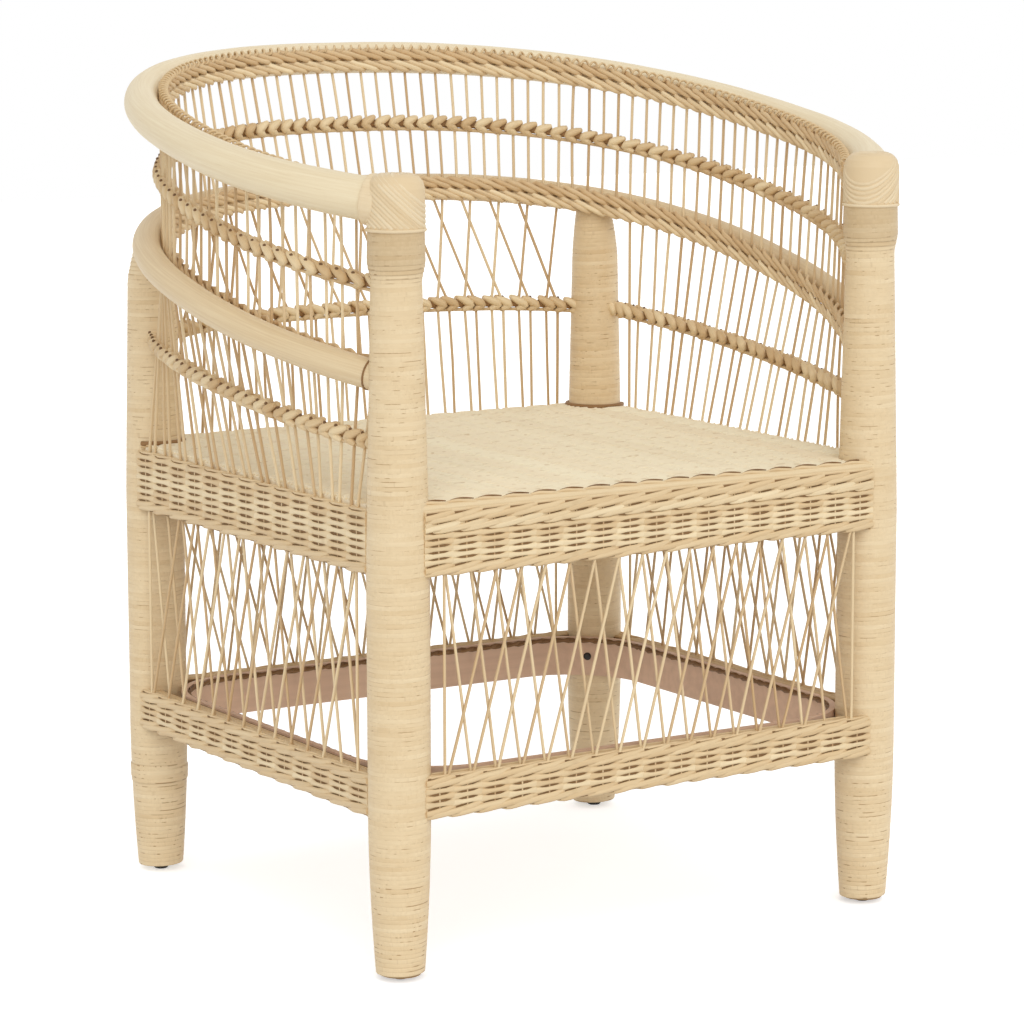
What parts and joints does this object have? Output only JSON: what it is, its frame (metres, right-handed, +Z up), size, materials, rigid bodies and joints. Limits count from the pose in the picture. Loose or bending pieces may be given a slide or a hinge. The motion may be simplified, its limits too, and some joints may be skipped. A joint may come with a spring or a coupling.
{
  "type": "cane armchair",
  "caption": "Tub-shaped cane armchair: bound posts, bent top and middle rails, stake walls, woven seat, aprons and bands, crossed lattices below.",
  "frame": {"origin": "on the floor, under the middle of the chair's bounding box", "axes": "+Z up, -Y out of the front, +X to the right as seen from the front"},
  "size_m": [0.7022, 0.6157, 0.8006],
  "materials": {
    "cane_pole": "varnished bent cane",
    "cane_binding": "fine varnished cane binding",
    "cane_strand": "thin round cane",
    "cane_rope": "twisted cane strands",
    "cane_weave": "woven cane",
    "seat_weave": "close flat cane weave",
    "flat_bar": "plain flat bar, dull",
    "glide": "dark, matt",
    "screw": "dark screw head",
    "inner_wood": "plain wood, not seen"
  },
  "bodies": {
    "root": {"post_front_left": "cane_pole", "post_front_right": "cane_pole", "post_rear_left": "cane_pole", "post_rear_right": "cane_pole", "binding_front_left": "cane_binding", "binding_front_right": "cane_binding", "binding_rear_left": "cane_binding", "binding_rear_right": "cane_binding", "foot_glides": "glide", "top_rail": "cane_pole", "mid_rail": "cane_pole", "rail_pins": "inner_wood", "knuckle_left": "cane_binding", "knuckle_right": "cane_binding", "lower_hoop": "flat_bar", "seat_hoop": "flat_bar", "hoop_screws": "screw", "seat_slats": "inner_wood", "seat_panel": "seat_weave", "seat_border": "cane_rope", "apron_front": "cane_weave", "apron_left": "cane_weave", "apron_right": "cane_weave", "apron_back": "cane_weave", "band_front": "cane_weave", "band_left": "cane_weave", "band_right": "cane_weave", "band_back": "cane_weave", "lattice_front": "cane_strand", "lattice_left": "cane_strand", "lattice_right": "cane_strand", "lattice_back": "cane_strand", "upper_stakes_left": "cane_strand", "upper_stakes_back": "cane_strand", "upper_stakes_right": "cane_strand", "lower_stakes_left": "cane_strand", "lower_stakes_back": "cane_strand", "lower_stakes_right": "cane_strand", "top_braid": "cane_rope", "mid_braid": "cane_rope", "upper_knots": "cane_rope", "lower_knots_left": "cane_rope", "lower_knots_back": "cane_rope", "lower_knots_right": "cane_rope"}
  },
  "joints": []
}
